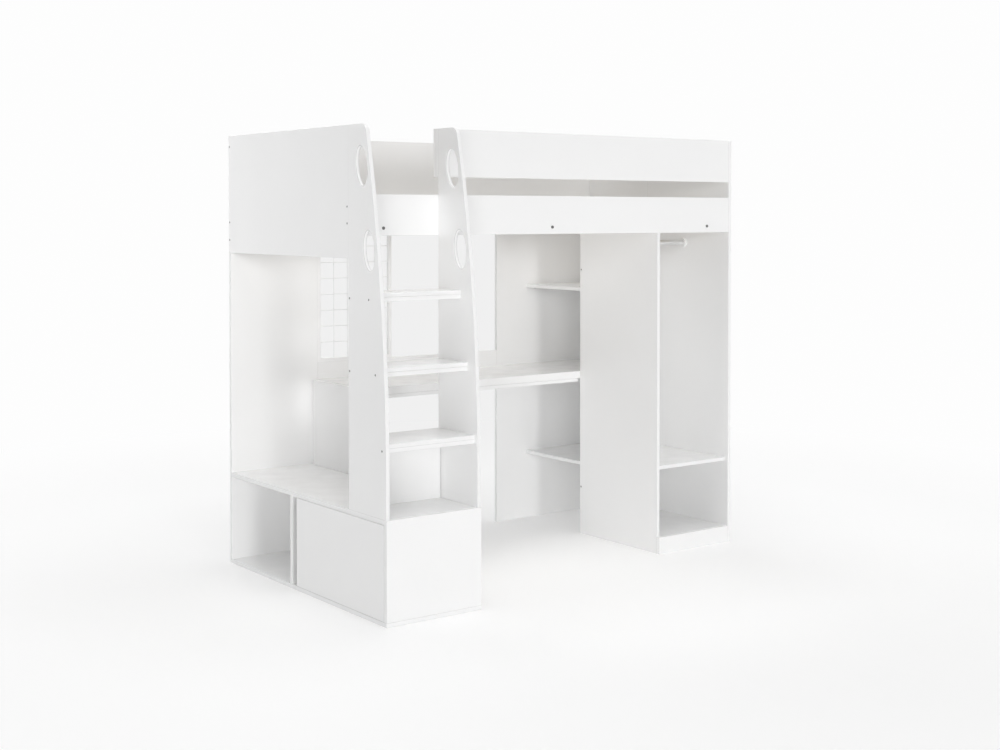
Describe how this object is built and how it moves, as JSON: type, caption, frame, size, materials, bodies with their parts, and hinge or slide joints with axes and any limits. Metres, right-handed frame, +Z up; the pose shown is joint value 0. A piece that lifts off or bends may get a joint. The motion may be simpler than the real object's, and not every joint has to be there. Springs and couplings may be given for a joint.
{
  "type": "high sleeper bed",
  "caption": "White board high sleeper: raised single bed with step ladder on a storage base, desk with wire grid, open wardrobe and bookcase below.",
  "frame": {"origin": "on the floor, under the middle of the object's box", "axes": "+X along the bed from the step base to the wardrobe end, +Y from the front to the back, +Z up"},
  "size_m": [1.986, 1.238, 1.8],
  "materials": {
    "white_board": "smooth satin white laminate",
    "slat_wood": "planed pale birch",
    "white_metal": "white powder coat",
    "fastener_steel": "dark burnished",
    "rail_chrome": "satin chrome",
    "white_plastic": "moulded white plastic"
  },
  "bodies": {
    "bed_frame": {"left_end_panel": "white_board", "left_back_panel": "white_board", "bed_back_panel": "white_board", "right_back_panel": "white_board", "right_end_front_panel": "white_board", "right_end_rear_panel": "white_board", "side_rail": "white_board", "guard_rail": "white_board", "guard_rail_cleat": "white_board", "front_slat_ledge": "white_board", "rear_slat_ledge": "white_board", "base_bottom": "white_board", "base_front": "white_board", "base_right_side": "white_board", "base_divider": "white_board", "base_top": "white_board", "ladder_left_side": "white_board", "ladder_right_side": "white_board", "ladder_riser": "white_board", "lower_tread": "white_board", "lower_tread_front_lip": "white_board", "middle_tread": "white_board", "middle_tread_front_lip": "white_board", "middle_tread_rear_lip": "white_board", "upper_tread": "white_board", "upper_tread_front_lip": "white_board", "upper_tread_rear_lip": "white_board", "desk_left_support": "white_board", "desk_top": "white_board", "desk_front_batten": "white_board", "desk_back_rail": "white_board", "wardrobe_left_panel": "white_board", "wardrobe_back_panel": "white_board", "wardrobe_plinth": "white_board", "wardrobe_bottom": "white_board", "wardrobe_shelf": "white_board", "bookcase_upper_shelf": "white_board", "bookcase_lower_shelf": "white_board", "bed_slats": "slat_wood", "grid_left_stile": "white_metal", "grid_right_stile": "white_metal", "grid_bottom_bar": "white_metal", "grid_top_bar": "white_metal", "wire_grid": "white_metal", "door_pins": "fastener_steel", "rail_bolts": "fastener_steel", "rail_nuts": "fastener_steel", "end_panel_screws": "fastener_steel", "wardrobe_screws": "fastener_steel", "ladder_screws": "fastener_steel", "rear_ledge_screws": "fastener_steel", "shelf_pins": "fastener_steel", "hanging_rail": "rail_chrome", "hanging_rail_left_socket": "white_plastic", "hanging_rail_right_socket": "white_plastic", "magnetic_catch": "white_plastic"},
    "door": {"cupboard_door": "white_board", "door_bushes": "white_plastic", "catch_plate": "fastener_steel"}
  },
  "joints": [
    {"name": "cupboard_door_hinge", "type": "hinge", "parent": "bed_frame", "child": "door", "pos_m": [-0.985, -0.588, 0.1905], "axis": [0, 0, 1], "range_deg": [0, 100]}
  ]
}
